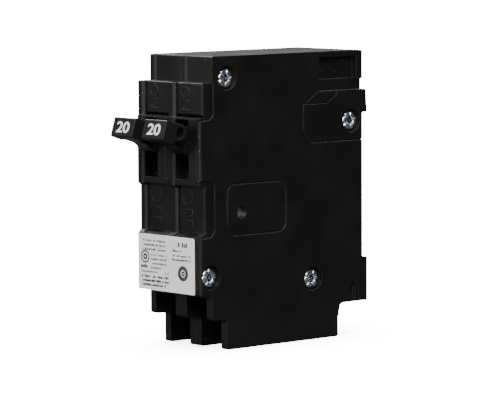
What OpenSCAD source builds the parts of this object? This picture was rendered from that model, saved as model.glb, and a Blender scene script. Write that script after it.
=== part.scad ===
// Tandem plug-in circuit breaker: two half-width toggle poles riveted side by side.
// X runs across the poles, +Y points to the panel, +Z points to the bus (line) end.
// Inside the modules the sizes are read in "case" places: x from the left side of one
// pole, y from the rear face (the front is negative) and z from the terminal end.

/* [Case] */
// Width of one pole module
pole_w = 12.7; // [12.5:0.1:13.5]
// Height of the case, from the terminal end to the bus end
case_h = 78.6; // [78:0.1:80]
// Depth of the case, from the front face to the rear face
case_d = 59.4; // [59:0.1:60]
// Thickness of the moulded cover plate on the left of each pole
cover_t = 2.2; // [1.9:0.1:2.3]
// Thickness of the right wall of each base
wall_t = 2.2; // [2.1:0.1:2.4]
// How far the rear feet stand out behind the rear face
foot_out = 1.8; // [1.4:0.1:2.2]
// How far the marked ON and OFF blocks sit behind the front face
block_back = 1.4; // [1.2:0.1:1.7]
// How far the side of each marked block is set in
block_in = 0.3; // [0.2:0.1:0.6]

/* [Handle] */
// Distance from the pivot to the face of the handle
handle_reach = 21.5; // [21:0.1:22]
// Width of the grip
grip_w = 8.8; // [8.4:0.1:9.2]
// Height of the grip
grip_h = 5.5; // [5:0.1:5.8]
// Angle of the handle above level when it is on
on_angle = 17.3; // [16:0.1:17.5]
// Radius of the tie hole through the neck
tie_r = 1.5; // [1.2:0.1:1.6]

/* [Bus slot] */
// Height of the slot for the bus stab
slot_h = 2.9; // [2.6:0.1:3]
// Depth of the slot from the rear face
slot_d = 16.2; // [15.8:0.1:16.4]
// How far the closed ends of the slot lie below the two outer walls
slot_sink = 0.8; // [0.3:0.1:1.4]

/* [Fasteners] */
// Radius of the rivet shanks
rivet_r = 1.6; // [1.4:0.1:1.8]
// Radius of the rivet heads
rivet_head_r = 2.65; // [2.4:0.05:2.9]
// Radius of the terminal screw's thread
screw_r = 2.1; // [2:0.1:2.2]

/* [Hidden] */

moulding = "#1c1c19";
steel = "#b9bfc6";
copper = "#b8693c";
brass = "#c79a4b";

fine = 48;                       // facets of a round face
eps = 0.01;
gap = 0.05;                      // air between the two poles
body_w = pole_w - gap;           // moulded width of one pole
base_x0 = cover_t;               // parting plane of a pole
inner_x1 = body_w - wall_t;      // inside of the base's right wall

// Heights of the front zones, from the terminal end up
z_step = 8.2;                    // top of the low wall step
z_label0 = 15.2;                 // underside of the label zone
z_off0 = 30.6;                   // bottom of the OFF block
z_off1 = 44.1;                   // top of the OFF block
z_on0 = 62.4;                    // bottom of the ON block
z_on1 = 71.6;                    // top of the ON block
z_slot = 67.8;                   // floor of the bus slot
z_foot0 = 9.15;                  // underside of the lower foot
z_foot1 = 21.3;                  // top of the lower foot
z_foot2 = 61.4;                  // underside of the upper foot

// Depths of the front faces, from the rear face
y_front = -case_d;
y_block = y_front + block_back;
y_off = y_block + 0.6;            // face of the OFF block
y_brow = y_front + 4.6;          // face above the ON block
y_lip = y_front + 4.2;           // wall edge beside the upper part of the wire pocket
y_heel = y_front + 9.3;          // wall edge beside the lower part of the wire pocket
y_tail = -9.3;                   // rear of the terminal end, below the lower foot

// Places of the mechanism, as [y, z]
pivot = [-49.5, 53.4];           // handle trunnions
leg = 8;                         // from the handle's pivot to the contact arm's pivot
arm_pivot = pivot + leg * [cos(on_angle), -sin(on_angle)];
arm_angle = 36.5;                // lie of the closed contact arm above level
arm_dir = [cos(arm_angle), sin(arm_angle)];
arm_up = [-sin(arm_angle), cos(arm_angle)];
arm_reach = 18.5;                // from the arm's pivot to the contact
arm_t = 1.4;
button_t = 0.9;
contact_at = arm_pivot + arm_reach * arm_dir;
cradle_pivot = [-52.1, 44.9];
cradle_tip = [-31.5, 44.2];
cradle_pin = [-46.5, 50.5];      // where the spring hooks on the cradle
arm_pin = arm_pivot + 13 * arm_dir;
armature_pivot = [-29.7, 21.5];
bimetal_y = -25.2;
strap_z = 17.3;
terminal_y = -36.4;              // middle of the terminal plate
screw_at = [6.35, 8];            // terminal screw, as [x, z]
calibration_at = [-44.6, 36.7];
rivets_at = [[-49.5, 72.7], [-55.6, 19.8], [-18.7, 16.7], [-4.2, 59.3]];

// The bounding box is centred on Y = 0
tip_y = pivot[0] - handle_reach * cos(on_angle) - grip_h / 2 * sin(on_angle);
centre_y = -(tip_y + foot_out) / 2;

// ---- Outlines -----------------------------------------------------------------

function unit(v) = v / norm(v);

// A corner at b between a and c, rounded to radius r
function corner(a, b, c, r, steps = 4) =
    let (
        u = unit(a - b),
        w = unit(c - b),
        half = acos(u * w) / 2,
        middle = b + unit(u + w) * r / sin(half),
        start = b + u * r / tan(half) - middle,
        end = b + w * r / tan(half) - middle,
        first = atan2(start[1], start[0]),
        sweep = (atan2(end[1], end[0]) - first + 540) % 360 - 180
    )
    [for (i = [0:steps]) middle + r * [cos(first + sweep * i / steps), sin(first + sweep * i / steps)]];

// A closed outline from corners given as [y, z, radius]
function outline(corners) =
    let (n = len(corners))
    [for (i = [0:n - 1])
        let (
            a = corners[(i + n - 1) % n],
            b = corners[i],
            c = corners[(i + 1) % n]
        )
        each b[2] > 0
            ? corner([a[0], a[1]], [b[0], b[1]], [c[0], c[1]], b[2])
            : [[b[0], b[1]]]];

// The normal of a path at point i, lengthened where the path bends
function mitre(path, i) =
    let (
        last = len(path) - 1,
        before = unit(path[max(i, 1)] - path[max(i, 1) - 1]),
        after = unit(path[min(i, last - 1) + 1] - path[min(i, last - 1)]),
        along = unit(before + after)
    )
    [-along[1], along[0]] / (along * after);

// The edge outline of sheet metal of thickness t bent along a path
function bent(path, t) = concat(
    [for (i = [0:len(path) - 1]) path[i] + mitre(path, i) * t / 2],
    [for (i = [len(path) - 1:-1:0]) path[i] - mitre(path, i) * t / 2]);

// ---- Shared shapes ------------------------------------------------------------

// Carries a [y, z] outline across the width, from x0 to x1
module slab(x0, x1) {
    translate([x0, 0, 0])
        rotate([90, 0, 90])
            linear_extrude(x1 - x0)
                children();
}

// A round bar or hole along X at a [y, z] place
module bar(place, r, x0, x1) {
    translate([x0, place[0], place[1]])
        rotate([0, 90, 0])
            cylinder(r = r, h = x1 - x0, $fn = fine);
}

// A square cut on edge, run up the front at depth y
module vee_groove(x, y, z0, z1, half) {
    translate([x, y, z0])
        linear_extrude(z1 - z0)
            polygon([[half, 0], [0, half], [-half, 0], [0, -half]]);
}

// What is cut away to round a right front edge at depth y
module edge_round(y, z0, z1, r, x = body_w) {
    translate([x - r, y + r, z0])
        linear_extrude(z1 - z0)
            difference() {
                translate([0, -r - 1])
                    square([r + 1, r + 1]);
                circle(r = r, $fn = fine);
            }
}

// The part of a that is square to the direction t, with length 1
function squared(a, t) = unit(a - (a * t) * t);

// A tube swept through points in space: a ring of sides round each point, carried along
// from ring to ring without twist
module swept_tube(points, r, sides) {
    last = len(points) - 1;
    along = [for (i = [0:last]) unit(points[min(i + 1, last)] - points[max(i - 1, 0)])];
    across = [for (i = 0, a = squared([1, 0, 0], along[0]); i <= last;
        i = i + 1, a = squared(a, along[min(i, last)])) a];
    rings = [for (i = [0:last])
        let (up = cross(along[i], across[i]))
        for (k = [0:sides - 1])
            points[i] + r * (cos(360 * k / sides) * across[i] + sin(360 * k / sides) * up)];
    walls = [for (i = [0:last - 1], k = [0:sides - 1])
        let (
            a = i * sides + k,
            b = i * sides + (k + 1) % sides
        )
        each [[a, a + sides, b + sides], [a, b + sides, b]]];
    ends = [
        [for (k = [0:sides - 1]) k],
        [for (k = [sides - 1:-1:0]) last * sides + k]
    ];
    polyhedron(rings, concat(walls, ends));
}

module in_place(side) {
    translate([side == "left" ? -pole_w : gap, centre_y, 0])
        children();
}

// ---- Case ---------------------------------------------------------------------

// Shared by both halves: the terminal end, the rear with its feet, and the bus slot
rear_corners = [
    [y_heel, 0, 0.8], [y_tail, 0, 0.6], [y_tail, 5, 0], [y_tail + 0.9, z_foot0, 1.4],
    [foot_out, z_foot0, 0.3], [foot_out, z_foot1, 0.4], [0, z_foot1, 0.3],
    [0, z_foot2, 0.3], [foot_out, z_foot2, 0.4], [foot_out - 0.4, z_slot, 0.3],
    [-slot_d, z_slot, 0.3], [-slot_d, z_slot + slot_h, 0.3], [0, z_slot + slot_h, 0.3],
    [0, case_h, 0.5]
];

step_corners = [
    [y_front, z_label0, 0.4], [y_lip, z_label0, 0.3], [y_lip, z_step, 0.9],
    [y_heel, z_step, 1]
];

// The front of the cover stands a little behind the face beside the two blocks
cover_corners = concat(rear_corners, [
    [y_brow, case_h, 0.5], [y_brow, z_on1, 0],
    [y_front + 0.3, z_on1, 0.3], [y_front + 0.3, z_on0, 0],
    [y_front, z_on0, 0.2], [y_front, z_off1, 0.2],
    [y_front + 1, z_off1 - 0.6, 0.2], [y_front + 1, z_off0 + 0.8, 0.2],
    [y_front, z_off0, 0.2]
], step_corners);

base_corners = concat(rear_corners, [
    [y_brow, case_h, 0.5], [y_brow, z_on1, 0],
    [y_block, z_on1, 0.5], [y_block, z_on0 + 0.8, 0.3], [y_block + 0.9, z_on0, 0],
    [y_front, z_on0, 0.4], [y_front, z_off1, 0.4],
    [y_off, z_off1, 0], [y_off, z_off0 + 1, 0.3], [y_front + 0.3, z_off0, 0.3]
], step_corners);

// The room inside the base for the mechanism, the arc chute and the jaw
room_corners = [
    [-46.3, 16.6, 0.5], [-24, 16.6, 0.5], [-22.4, 21.4, 0.8], [-8, 21.4, 1],
    [-8, 23.5, 0], [-2, 25.5, 0.8], [-2, 54.2, 0.8], [-8.3, 55.4, 0.6], [-8.3, 63.4, 0.6],
    [-2, 64.6, 0.5], [-2, 76.4, 0.5], [-19.8, 76.4, 0.5], [-19.8, 72.4, 0.5],
    [-44.4, 72.4, 1], [-45.6, 67.8, 1], [-54.4, 66.4, 1], [-54.4, z_on0, 0.4],
    [y_front + 2, z_on0 - 0.8, 0.4], [y_front + 2, z_off1 + 0.6, 0.4], [-54.6, z_off1 - 1, 0.4],
    [-54.6, 31, 1], [-50.6, 26, 1], [-50.6, 24, 1], [-46.3, 20, 1]
];

// Wire pocket, open to the front and to the terminal end
pocket_corners = [
    [y_front - 2, -2, 0], [-38.2, -2, 0], [-38.2, 0, 0], [-38.2, 13.4, 0.8],
    [-53, 13.4, 0.8], [-53.6, 14.2, 0], [y_front - 2, 14.2, 0]
];

module rivet_holes(x0, x1) {
    for (place = rivets_at)
        bar(place, rivet_r + 0.1, x0, x1);
}

// Counterbores for the rivet heads in one outer face
module rivet_sinks(x0, x1) {
    for (place = rivets_at)
        bar(place, rivet_head_r + 0.6, x0, x1);
}

module parting_grooves() {
    vee_groove(base_x0, y_front, z_label0 - 1, z_off0, 0.4);
    vee_groove(base_x0, y_front, z_off1, z_on0, 0.4);
    vee_groove(base_x0, y_brow, z_on1, case_h + 1, 0.55);
    vee_groove(base_x0, 0, z_foot1, z_foot2, 0.3);
    translate([base_x0, y_brow - 1, case_h])
        rotate([-90, 0, 0])
            linear_extrude(2 - y_brow)
                polygon([[0.4, 0], [0, 0.4], [-0.4, 0], [0, -0.4]]);
}

// Thin wall that closes the bus slot on an outer side
module slot_web(x0, x1) {
    slab(x0, x1)
        polygon([[-slot_d - 0.3, z_slot - 0.3], [0, z_slot - 0.3],
            [0, z_slot + slot_h + 0.3], [-slot_d - 0.3, z_slot + slot_h + 0.3]]);
}

module cover_plate(outer) {
    difference() {
        slab(0, cover_t)
            polygon(outline(cover_corners));
        parting_grooves();
        rivet_holes(-eps, cover_t + eps);
        if (outer)
            rivet_sinks(-eps, 0.9);
        bar(pivot, 1.66, 0.8, cover_t + eps);
        bar(armature_pivot, 0.65, 1.1, cover_t + eps);
        // Edge chamfers on the front of the strip
        vee_groove(cover_t, y_front + 0.3, z_on0, z_on1, 0.7);
        vee_groove(cover_t, y_front + 1, z_off0 + 0.8, z_off1 - 0.6, 0.6);
    }
}

module cover(outer) {
    color(moulding)
        union() {
            cover_plate(outer);
            if (outer)
                slot_web(slot_sink, cover_t);
        }
}

// Rounded plate outline round the upper rear rivet, and the arc under the slot
seat_corners = [
    [3, 53.8, 0], [3, z_slot + 2, 0], [-14, z_slot + 2, 0], [-22.3, 64.4, 1.4],
    [-22.3, 57.4, 1.6], [-19.4, 53.8, 1.2]
];
thumb_corners = [
    [-22.3, 64.4, 0], [-13.4, 64.4, 2.6], [-9.5, 66.6, 1.4], [-9.5, z_slot + 2, 0],
    [-14, z_slot + 2, 0]
];
panel_corners = [[-50, 30.4, 3], [-28.4, 30.4, 3], [-28.4, 44.6, 3], [-50, 44.6, 3]];

// An engraved line round an outline in the right wall
module engraved(corners, width, depth) {
    slab(body_w - depth, body_w + 1)
        difference() {
            polygon(outline(corners));
            polygon(outline([for (i = [0:len(corners) - 1])
                let (
                    n = len(corners),
                    a = corners[(i + n - 1) % n],
                    b = corners[i],
                    c = corners[(i + 1) % n],
                    u = unit([b[0] - a[0], b[1] - a[1]]),
                    w = unit([c[0] - b[0], c[1] - b[1]]),
                    inward = ([-u[1], u[0]] + [-w[1], w[0]]) / (1 + u * w)
                )
                [b[0] + width * inward[0], b[1] + width * inward[1], max(b[2] - width, 0)]]));
        }
}

module base_shell() {
    difference() {
        slab(base_x0, body_w)
            polygon(outline(base_corners));
        parting_grooves();
        // Inside
        difference() {
            slab(base_x0 - eps, inner_x1)
                polygon(outline(room_corners));
            bar(cradle_pivot, 2, 3.5, inner_x1 + eps);
            bar(cradle_pivot, 1, 2.4, inner_x1 + eps);
            bar(calibration_at, 3, 4.2, inner_x1 + eps);
        }
        slab(base_x0 - eps, inner_x1)
            polygon(outline(pocket_corners));
        // Way through for the load strap
        translate([3.1, terminal_y - 0.8, 12])
            cube([6.5, 1.6, 6]);
        translate([3.1, terminal_y - 2, -1])
            cube([6.5, 2.8, 16]);
        // Room behind the terminal plate for the end of the screw
        translate([base_x0 - eps, terminal_y, screw_at[1] - 2.6])
            cube([screw_at[0] + 2.6 - base_x0, 7.2, 5.2]);
        // Handle window
        translate([3, y_front - 1, z_off1 + 1.8])
            cube([5.3, 4, z_on0 - z_off1 - 2.4]);
        // Bearings
        bar(pivot, 1.66, inner_x1 - eps, 11.9 - 0.1);
        bar(armature_pivot, 0.65, inner_x1 - eps, 11.6 - 0.1);
        // Blocks set in at the side
        slab(body_w - block_in, body_w + 1)
            polygon(outline([
                [y_front - 1, z_on0 - 0.8, 0], [-54.3, z_on0 - 0.8, 2.2],
                [-54.3, z_on1 + 0.01, 0], [y_front - 1, z_on1 + 0.01, 0]]));
        slab(body_w - block_in, body_w + 1)
            polygon(outline([
                [y_front - 1, z_off0 - 0.2, 0], [-54, z_off0 - 0.2, 2.4],
                [-54, z_off1 + 1.7, 1.6], [y_front - 1, z_off1 + 1.7, 0]]));
        edge_round(y_front, z_label0 - 1, z_off0 - 0.2, 1.45);
        edge_round(y_front, z_off1 + 1.7, z_on0 - 0.8, 1.45);
        edge_round(y_block, z_on0 + 0.8, z_on1, 0.7, body_w - block_in);
        edge_round(y_off, z_off0 + 1, z_off1, 0.7, body_w - block_in);
        // Pocket above the bus slot
        slab(body_w - 1.6, body_w + 1)
            polygon([[-slot_d, z_slot + slot_h - eps], [-2.3, z_slot + slot_h - eps],
                [-2.3, 77.1], [-slot_d, 77.1]]);
        // Lines moulded in the wall
        engraved(panel_corners, 0.45, 0.25);
        engraved(seat_corners, 0.4, 0.25);
        engraved(thumb_corners, 0.4, 0.25);
        // Notch beside the lower foot
        slab(body_w - 0.8, body_w + 1)
            polygon([[-5.8, 12.4], [-3.1, 10.2], [-2.9, 14.3], [-3.9, 14.7]]);
        // Calibration screw seen through the wall
        bar(calibration_at, 1.75, 4, body_w + 1);
        rivet_holes(base_x0 - eps, body_w + eps);
        rivet_sinks(body_w - 0.9, body_w + 1);
    }
}

module base(closed) {
    color(moulding)
        union() {
            base_shell();
            if (closed)
                slot_web(inner_x1 - eps, body_w - slot_sink);
        }
}

// ---- Handle -------------------------------------------------------------------

grip_x0 = 2.4;
neck_x0 = 3.2;
neck_x1 = 8.1;
hub_x0 = 5;
hub_x1 = 10.2;
cheek = 1.2;                     // thickness of each side of the fork

module handle() {
    color("#232320")
        translate([0, pivot[0], pivot[1]])
            rotate([-on_angle, 0, 0])
                difference() {
                    union() {
                        // Neck, flared where it fills the window
                        slab(neck_x0, neck_x1)
                            polygon(outline([
                                [-18, -2.5, 0], [-14, -2.5, 2], [-10.2, -3.8, 1.5], [-6.4, -3.8, 1],
                                [-3, -3, 0], [-3, 3, 0], [-6.4, 3.8, 1], [-10.2, 3.8, 1.5],
                                [-14, 2.5, 2], [-18, 2.5, 0]]));
                        bar([0, 0], 5, hub_x0, hub_x1);
                        slab(hub_x0, hub_x1)
                            polygon([[0, -4], [0, 4], [leg, 2], [leg, -2]]);
                        bar([leg, 0], 2, hub_x0, hub_x1);
                        // Trunnions
                        bar([0, 0], 1.6, 1, 11.6);
                        // Grip
                        slab(grip_x0, grip_x0 + grip_w)
                            polygon(outline([
                                [-handle_reach, -grip_h / 2, 0.5], [-17.2, -grip_h / 2, 0.6],
                                [-17.2, grip_h / 2, 0.6], [-handle_reach, grip_h / 2, 0.5]]));
                        // Boss round the tie hole
                        bar([-15.9, 0.75], tie_r + 0.85, neck_x0 - 0.4, grip_x0 + grip_w - 0.4);
                    }
                    bar([-15.9, 0.75], tie_r, -1, 14);
                    // Fork for the contact arm
                    slab(hub_x0 + cheek, hub_x1 - cheek)
                        polygon([[5.3, -8], [12, -8], [12, 8], [5.3, 8]]);
                    bar([leg, 0], 0.95, hub_x0 - 1, hub_x1 + 1);
                }
}

// ---- Contacts -----------------------------------------------------------------

module contact_arm() {
    color(copper) {
        slab(hub_x0 + cheek + 0.3, hub_x1 - cheek - 0.3)
            polygon(bent([arm_pivot, arm_pivot + 8 * arm_dir], arm_t));
        slab(5.4, 9.8)
            polygon(bent([arm_pivot + 6 * arm_dir, arm_pivot + (arm_reach + 2.2) * arm_dir], arm_t));
        bar(arm_pivot, 1.5, hub_x0 + cheek + 0.3, hub_x1 - cheek - 0.3);
        bar(arm_pivot, 0.9, hub_x0 + 0.1, hub_x1 - 0.1);
        bar(arm_pin, 0.5, 3.5, 6);
    }
}

// A contact button of radius 1.9 standing on a face, t thick along arm_up
module button(place, x, t) {
    translate([x, place[0], place[1]])
        rotate([arm_angle, 0, 0])
            cylinder(r = 1.9, h = t, $fn = fine);
}

module moving_contact() {
    color("silver")
        button(contact_at + arm_up * arm_t / 2, 7.6, button_t);
}

module fixed_contact() {
    color("silver")
        button(contact_at + arm_up * (arm_t / 2 + button_t), 7.6, button_t);
}

strap_t = 1;
pad_at = contact_at + arm_up * (arm_t / 2 + 2 * button_t + strap_t / 2);
jaw_t = 0.8;

// The line conductor: contact strap and the sprung jaw that grips the bus stab
module line_jaw() {
    color(copper)
        slab(4.6, 10)
            polygon(bent([pad_at - 2.2 * arm_dir, pad_at + 2.4 * arm_dir,
                [-25.2, 66.6], [-18.9, 66.6]], strap_t));
    color(copper)
        slab(3.6, 9.6) {
            polygon(bent([[-19.2, 66.6], [-12, 66.7], [-5, 67.9], [-2.8, 66.6]], jaw_t));
            polygon(bent([[-18.2, 66.4], [-18.2, 72.4]], jaw_t));
            polygon(bent([[-18.6, 72.1], [-12, 72], [-5, 70.6], [-2.8, 71.9]], jaw_t));
        }
}

plate_pitch = 2.2;

module arc_plates() {
    color(steel)
        for (i = [0:4])
            translate([0, 0, 52.4 + i * plate_pitch])
                linear_extrude(0.8)
                    polygon([[2.7, -20.2], [4.4, -20.2], [5.4, -13.6], [7.6, -13.6],
                        [8.6, -20.2], [10.2, -20.2], [10.2, -10], [2.7, -10]]);
}

module arc_card() {
    color("#8d4a2b")
        difference() {
            translate([2.5, -10, 51.4])
                cube([7.9, 0.8, 11.6]);
            translate([5, -11, 50])
                cube([0.8, 3, 2.4]);
        }
}

// ---- Operating mechanism --------------------------------------------------------

module cradle() {
    color(steel) {
        difference() {
            union() {
                slab(2.5, 3.3)
                    polygon(outline([
                        [cradle_pivot[0] - 2, cradle_pivot[1] - 2, 1.8],
                        [-48, 42.2, 1], [-36, 41.6, 2], [cradle_tip[0] + 0.7, cradle_tip[1] - 0.9, 0.7],
                        [cradle_tip[0] + 0.7, cradle_tip[1] + 0.9, 0.6], [-37, 45.4, 2],
                        [cradle_pin[0] + 2.6, 47.6, 1.5], [cradle_pin[0] + 1.4, cradle_pin[1] + 1.4, 1],
                        [cradle_pin[0] - 1.6, cradle_pin[1] + 0.8, 1],
                        [cradle_pivot[0] - 2, cradle_pivot[1] + 2, 1.8]]));
                // Latch nose, turned in so that it meets the middle of the armature
                slab(2.5, 6.4)
                    polygon(outline([
                        [cradle_tip[0] - 1, cradle_tip[1] - 0.5, 0.4],
                        [cradle_tip[0] + 0.7, cradle_tip[1] - 0.9, 0.7],
                        [cradle_tip[0] + 0.7, cradle_tip[1] + 0.9, 0.6],
                        [cradle_tip[0] - 1, cradle_tip[1] + 0.7, 0.4]]));
                bar(cradle_pin, 0.5, 3, 4.9);
            }
            bar(cradle_pivot, 1.05, 2, 4);
        }
    }
}

spring_x = 4.2;
spring_wire = 0.2;
spring_coil = 0.62;
spring_turns = 10;

// A tension spring: a close coil with a hook loop round the pin at each end
module operating_spring() {
    span = arm_pin - cradle_pin;
    along = unit(span);
    across = [-along[1], along[0]];
    hook = 0.78;
    coil_start = 2.6;
    coil_length = norm(span) - 2 * coil_start;
    function at(s, x, h) = [
        spring_x + x,
        cradle_pin[0] + along[0] * s + across[0] * h,
        cradle_pin[1] + along[1] * s + across[1] * h
    ];
    steps = 8;
    first_hook = [for (i = [0:7]) at(hook * cos(-30 - 40 * i), 0, hook * sin(-30 - 40 * i))];
    coil = [for (i = [0:spring_turns * steps])
        at(coil_start + coil_length * i / (spring_turns * steps),
            spring_coil * sin(360 * i / steps), spring_coil * cos(360 * i / steps))];
    last_hook = [for (i = [0:7])
        at(norm(span) + hook * cos(130 - 40 * i), 0, hook * sin(130 - 40 * i))];
    color(steel)
        swept_tube(concat(first_hook, coil, last_hook), spring_wire, 5);
}

// Woven copper lead from the contact arm to the free end of the bimetal
braid_path = [
    [-35.5, 53.9], [-35.1, 52.6], [-34.2, 51.3], [-32.8, 50.1], [-31.1, 49.2], [-29.3, 48.6],
    [-27.5, 47.9], [-26, 46.8], [-25.1, 45.2], [-24.9, 43.4], [-25.1, 41.8], [-25.2, 40.6]
];

module flexible_braid() {
    color(copper)
        swept_tube([for (p = braid_path) [7.6, p[0], p[1]]], 0.85, 10);
}

// ---- Trip unit ----------------------------------------------------------------

module bimetal() {
    color("#a9a08c")
        slab(4.4, 8.6)
            polygon(bent([[bimetal_y, 18], [bimetal_y, 40.5]], 0.8));
}

module magnet_yoke() {
    color("#6f7276")
        translate([0, 0, 24])
            linear_extrude(12)
                polygon([[3.2, -27.4], [4.1, -27.4], [4.1, -23.9], [8.9, -23.9], [8.9, -27.4],
                    [9.8, -27.4], [9.8, -22.9], [3.2, -22.9]]);
}

// The armature leans against the cradle's nose with a slanted latch face
module armature() {
    color(steel) {
        slab(4, 9)
            polygon([[-30.2, 21.5], [-29.2, 21.5], [-29.2, 45.6], [-30.2, 45.6],
                [-30.2, 44.3], [-30.35, 44], [-30.85, 42.3], [-30.85, 42], [-30.2, 41.5]]);
        bar(armature_pivot, 1, 3.4, 9.6);
        bar(armature_pivot, 0.6, 1.3, 11.3);
    }
}

// ---- Load terminal ------------------------------------------------------------

module load_terminal() {
    color(brass)
        difference() {
            union() {
                slab(3.3, 9.4)
                    polygon(bent([[terminal_y, 1.6], [terminal_y, strap_z], [-26.1, strap_z],
                        [-26.1, 22.6]], 1));
                translate([screw_at[0], terminal_y, screw_at[1]])
                    rotate([-90, 0, 0])
                        cylinder(r = 2.55, h = 2.6, $fn = fine);
            }
            translate([screw_at[0], terminal_y - 3, screw_at[1]])
                rotate([-90, 0, 0])
                    cylinder(r = screw_r + 0.05, h = 8, $fn = fine);
        }
}

clamp_y = -40.2;                 // front of the clamp plate, screw backed off
clamp_t = 1.1;

module clamp_plate() {
    color(steel)
        difference() {
            translate([3.4, clamp_y, 3])
                cube([5.9, clamp_t, 10]);
            translate([screw_at[0], clamp_y - 1, screw_at[1]])
                rotate([-90, 0, 0])
                    cylinder(r = screw_r + 0.08, h = 4, $fn = fine);
        }
}

head_h = 2.2;

module terminal_screw() {
    color(steel)
        translate([screw_at[0], clamp_y, screw_at[1]])
            rotate([90, 0, 0])
                difference() {
                    union() {
                        cylinder(r = 3.3, h = head_h, $fn = fine);
                        translate([0, 0, -8.2])
                            cylinder(r = screw_r, h = 8.3, $fn = fine);
                    }
                    translate([-4, -0.5, head_h - 1])
                        cube([8, 1, 2]);
                }
}

module calibration_screw() {
    color(steel)
        difference() {
            bar(calibration_at, 1.7, 4.6, 11);
            translate([10.3, calibration_at[0] - 0.3, calibration_at[1] - 2])
                cube([1, 0.6, 4]);
        }
}

// ---- Shared by both poles --------------------------------------------------------

sink = 0.9;
head_t = 0.75;

// Clinched rivets through both poles, with a rolled hollow at the right end
module case_rivets() {
    x0 = -pole_w;
    x1 = gap + body_w;
    color("#c9d2da")
        translate([0, centre_y, 0])
            for (place = rivets_at)
                difference() {
                    union() {
                        bar(place, rivet_r, x0 + sink - head_t, x1 - sink + 0.1);
                        bar(place, rivet_head_r, x0 + sink - head_t, x0 + sink);
                        bar(place, rivet_head_r, x1 - sink, x1 - sink + 0.45);
                        translate([x1 - sink + 0.45, place[0], place[1]])
                            rotate([0, 90, 0])
                                cylinder(r1 = rivet_head_r, r2 = 1.9, h = 0.3, $fn = fine);
                    }
                    bar(place, 0.95, x1 - 2.6, x1 + 1);
                }
}

module rating_label() {
    thick = 0.12;
    color("#f4f2ec")
        translate([-pole_w + 0.1, y_front + centre_y, z_label0 + 0.1])
            rotate([90, 0, 0])
                linear_extrude(thick)
                    polygon(outline([[0, 0, 0.8], [23.2, 0, 0.3], [23.2, 15.1, 0.8], [0, 15.1, 0.3]]));
}

in_place("left") cover(true);  // left_cover
in_place("left") base(false);  // left_base
in_place("left") handle();  // left_handle
in_place("left") contact_arm();  // left_contact_arm
in_place("left") moving_contact();  // left_moving_contact
in_place("left") cradle();  // left_cradle
in_place("left") operating_spring();  // left_operating_spring
in_place("left") flexible_braid();  // left_flexible_braid
in_place("left") line_jaw();  // left_line_jaw
in_place("left") fixed_contact();  // left_fixed_contact
in_place("left") arc_plates();  // left_arc_plates
in_place("left") arc_card();  // left_arc_card
in_place("left") bimetal();  // left_bimetal
in_place("left") magnet_yoke();  // left_magnet_yoke
in_place("left") armature();  // left_armature
in_place("left") load_terminal();  // left_load_terminal
in_place("left") clamp_plate();  // left_clamp_plate
in_place("left") terminal_screw();  // left_terminal_screw
in_place("left") calibration_screw();  // left_calibration_screw
in_place("right") cover(false);  // right_cover
in_place("right") base(true);  // right_base
in_place("right") handle();  // right_handle
in_place("right") contact_arm();  // right_contact_arm
in_place("right") moving_contact();  // right_moving_contact
in_place("right") cradle();  // right_cradle
in_place("right") operating_spring();  // right_operating_spring
in_place("right") flexible_braid();  // right_flexible_braid
in_place("right") line_jaw();  // right_line_jaw
in_place("right") fixed_contact();  // right_fixed_contact
in_place("right") arc_plates();  // right_arc_plates
in_place("right") arc_card();  // right_arc_card
in_place("right") bimetal();  // right_bimetal
in_place("right") magnet_yoke();  // right_magnet_yoke
in_place("right") armature();  // right_armature
in_place("right") load_terminal();  // right_load_terminal
in_place("right") clamp_plate();  // right_clamp_plate
in_place("right") terminal_screw();  // right_terminal_screw
in_place("right") calibration_screw();  // right_calibration_screw
case_rivets();
rating_label();
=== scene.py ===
"""Looks for a tandem plug-in circuit breaker: two narrow toggle poles riveted side by side.

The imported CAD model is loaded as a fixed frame. Its nodes get procedural finishes, and the rivets,
terminal screws and operating springs are replaced by finer surfaces. The raised lettering, the
handle numbers and the print on the label are added as pieces of their own. Meshes, lamps and the
camera are placed in metres in the row frame. Sizes of the object's own forms are fields in
millimetres, turned into metres by MM.
"""

import logging
import math
from dataclasses import dataclass, field
from enum import Enum

import bpy
import numpy as np
from mathutils import Matrix, Vector


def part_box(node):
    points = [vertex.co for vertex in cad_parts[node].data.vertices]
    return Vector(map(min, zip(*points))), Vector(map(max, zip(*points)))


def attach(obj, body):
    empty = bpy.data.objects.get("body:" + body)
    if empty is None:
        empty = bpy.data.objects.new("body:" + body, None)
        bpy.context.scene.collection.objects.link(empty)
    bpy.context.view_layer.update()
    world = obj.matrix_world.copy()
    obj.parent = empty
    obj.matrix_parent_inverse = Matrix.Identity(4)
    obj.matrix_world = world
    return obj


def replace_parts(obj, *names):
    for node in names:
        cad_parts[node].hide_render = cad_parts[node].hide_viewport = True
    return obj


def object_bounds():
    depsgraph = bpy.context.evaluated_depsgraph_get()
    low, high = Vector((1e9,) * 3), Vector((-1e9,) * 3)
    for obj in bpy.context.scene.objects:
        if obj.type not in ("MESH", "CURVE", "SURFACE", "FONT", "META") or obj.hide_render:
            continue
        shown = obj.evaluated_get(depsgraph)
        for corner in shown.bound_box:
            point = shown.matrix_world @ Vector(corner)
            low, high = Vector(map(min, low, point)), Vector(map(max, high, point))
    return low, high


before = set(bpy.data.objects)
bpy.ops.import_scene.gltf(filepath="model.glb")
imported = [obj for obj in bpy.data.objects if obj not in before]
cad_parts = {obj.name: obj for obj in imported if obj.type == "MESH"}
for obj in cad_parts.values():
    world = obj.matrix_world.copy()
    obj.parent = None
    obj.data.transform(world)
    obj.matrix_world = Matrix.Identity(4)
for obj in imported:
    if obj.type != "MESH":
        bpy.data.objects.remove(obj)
CAD_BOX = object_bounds()

log = logging.getLogger("breaker")
MM = 0.001


# ---- Where things are ---------------------------------------------------------------------


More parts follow.
